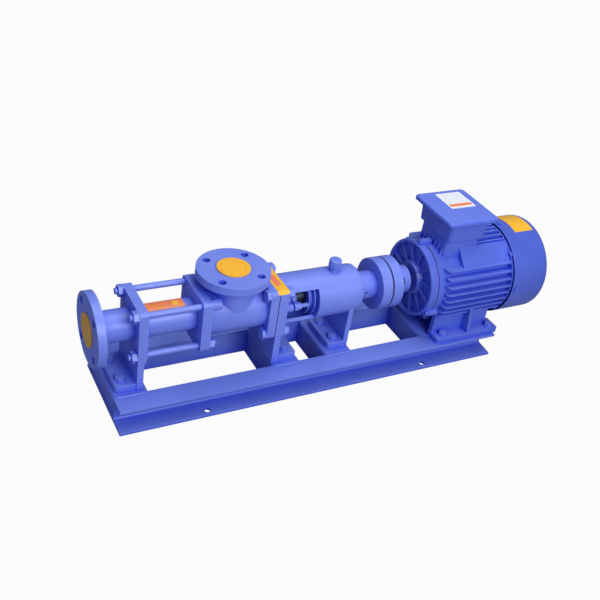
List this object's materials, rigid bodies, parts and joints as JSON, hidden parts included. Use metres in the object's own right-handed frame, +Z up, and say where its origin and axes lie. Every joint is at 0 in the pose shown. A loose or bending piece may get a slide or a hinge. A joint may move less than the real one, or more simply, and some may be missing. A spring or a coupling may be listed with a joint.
{
  "type": "progressive cavity pump",
  "caption": "Horizontal progressive cavity pump with flanged ports, bearing frame, flexible coupling and finned electric motor on a welded channel base.",
  "frame": {"origin": "floor plane, at the centre of the four anchor holes in the base", "axes": "+X along the pump axis from the discharge flange to the motor, +Z up along the suction nozzle, +Y to the back"},
  "size_m": [1.1126, 0.24, 0.372],
  "materials": {
    "base_paint": "blue enamel on rolled steel channel, satin",
    "pump_casting": "blue enamel sprayed on cast iron, satin",
    "pump_paint": "blue enamel on steel, satin",
    "painted_fasteners": "steel fasteners painted over in blue",
    "motor_casting": "deeper blue enamel on cast iron, satin",
    "motor_sheet": "deeper blue enamel on deep drawn sheet steel",
    "motor_fasteners": "steel screws painted over in blue",
    "cap_plastic": "moulded yellow polyethylene",
    "rubber": "black nitrile rubber",
    "gasket": "dark fibre gasket sheet",
    "packing": "braided gland packing",
    "shaft_steel": "turned and ground carbon steel",
    "rotor_steel": "hard chromed and polished rotor",
    "bearing_steel": "ground bearing steel",
    "core_steel": "stacked electrical steel sheet",
    "copper": "varnished copper winding",
    "fan_plastic": "black moulded nylon",
    "terminal_plastic": "dark moulded terminal board",
    "brass": "nickel plated brass gland"
  },
  "bodies": {
    "pump_frame": {"base_rail_front": "base_paint", "base_rail_rear": "base_paint", "cross_member_discharge": "base_paint", "cross_members_frame": "base_paint", "cross_member_motor": "base_paint", "packing_plates": "base_paint", "foot_bolts": "painted_fasteners", "discharge_body": "pump_casting", "stator_tube": "pump_paint", "stator_rubber": "rubber", "tie_rods": "painted_fasteners", "tie_rod_nuts": "painted_fasteners", "suction_casing": "pump_casting", "drain_plug": "painted_fasteners", "flange_gasket": "gasket", "flange_bolts": "painted_fasteners", "stuffing_box": "pump_casting", "packing_rings": "packing", "gland_studs": "painted_fasteners", "bearing_frame": "pump_casting", "bearing_end_cover": "pump_casting", "end_cover_bolts": "painted_fasteners", "shaft_seals": "rubber", "grease_cup_body": "pump_paint", "bearing_outer_rings": "bearing_steel", "bearing_balls": "bearing_steel", "motor_frame": "motor_casting", "motor_end_shield_front": "motor_casting", "motor_end_shield_rear": "motor_casting", "end_shield_bolts": "motor_fasteners", "motor_stator_core": "core_steel", "motor_windings": "copper", "fan_cover": "motor_sheet", "cover_screws": "motor_fasteners", "terminal_box": "motor_casting", "terminal_box_lid": "motor_casting", "terminal_block": "terminal_plastic", "cable_gland": "brass"},
    "drive_line": {"drive_shaft": "shaft_steel", "bearing_spacer": "shaft_steel", "bearing_lock_nut": "shaft_steel", "motor_shaft": "shaft_steel", "bearing_inner_rings": "bearing_steel", "keys_and_set_screw": "shaft_steel", "slinger_ring": "rubber", "coupling_half_pump": "pump_casting", "coupling_half_motor": "pump_casting", "coupling_element": "rubber", "coupling_bushes": "rubber", "coupling_pins": "shaft_steel", "motor_rotor_core": "core_steel", "motor_fan": "fan_plastic"},
    "connecting_rod": {"connecting_rod": "shaft_steel", "rod_pins": "shaft_steel"},
    "rotor_screw": {"rotor": "rotor_steel"},
    "gland_follower": {"packing_gland": "pump_casting", "gland_nuts": "painted_fasteners"},
    "discharge_cap": {"discharge_cap": "cap_plastic"},
    "suction_cap": {"suction_cap": "cap_plastic"},
    "grease_cap": {"grease_cup_cap": "pump_paint"}
  },
  "joints": [
    {"name": "drive_spin", "type": "hinge", "parent": "pump_frame", "child": "drive_line", "pos_m": [0, 0, 0.193], "axis": [1, 0, 0], "continuous": true},
    {"name": "rod_orbit", "type": "hinge", "parent": "pump_frame", "child": "connecting_rod", "pos_m": [0, 0, 0.193], "axis": [1, 0, 0], "continuous": true},
    {"name": "rotor_turn", "type": "hinge", "parent": "connecting_rod", "child": "rotor_screw", "pos_m": [0, 0, 0.199], "axis": [1, 0, 0], "continuous": true},
    {"name": "gland_adjust", "type": "slide", "parent": "pump_frame", "child": "gland_follower", "axis": [1, 0, 0], "range_m": [0, 0.012]},
    {"name": "discharge_cap_pull", "type": "slide", "parent": "pump_frame", "child": "discharge_cap", "axis": [-1, 0, 0], "range_m": [0, 0.04]},
    {"name": "suction_cap_pull", "type": "slide", "parent": "pump_frame", "child": "suction_cap", "axis": [0, 0, 1], "range_m": [0, 0.04]},
    {"name": "grease_cap_turn", "type": "hinge", "parent": "pump_frame", "child": "grease_cap", "pos_m": [0.046, 0, 0.262], "axis": [0, 0, 1], "range_deg": [0, 1080]}
  ],
  "couplings": [
    {"joint": "rod_orbit", "follows": "drive_spin", "ratio": -1},
    {"joint": "rotor_turn", "follows": "drive_spin", "ratio": 2}
  ]
}
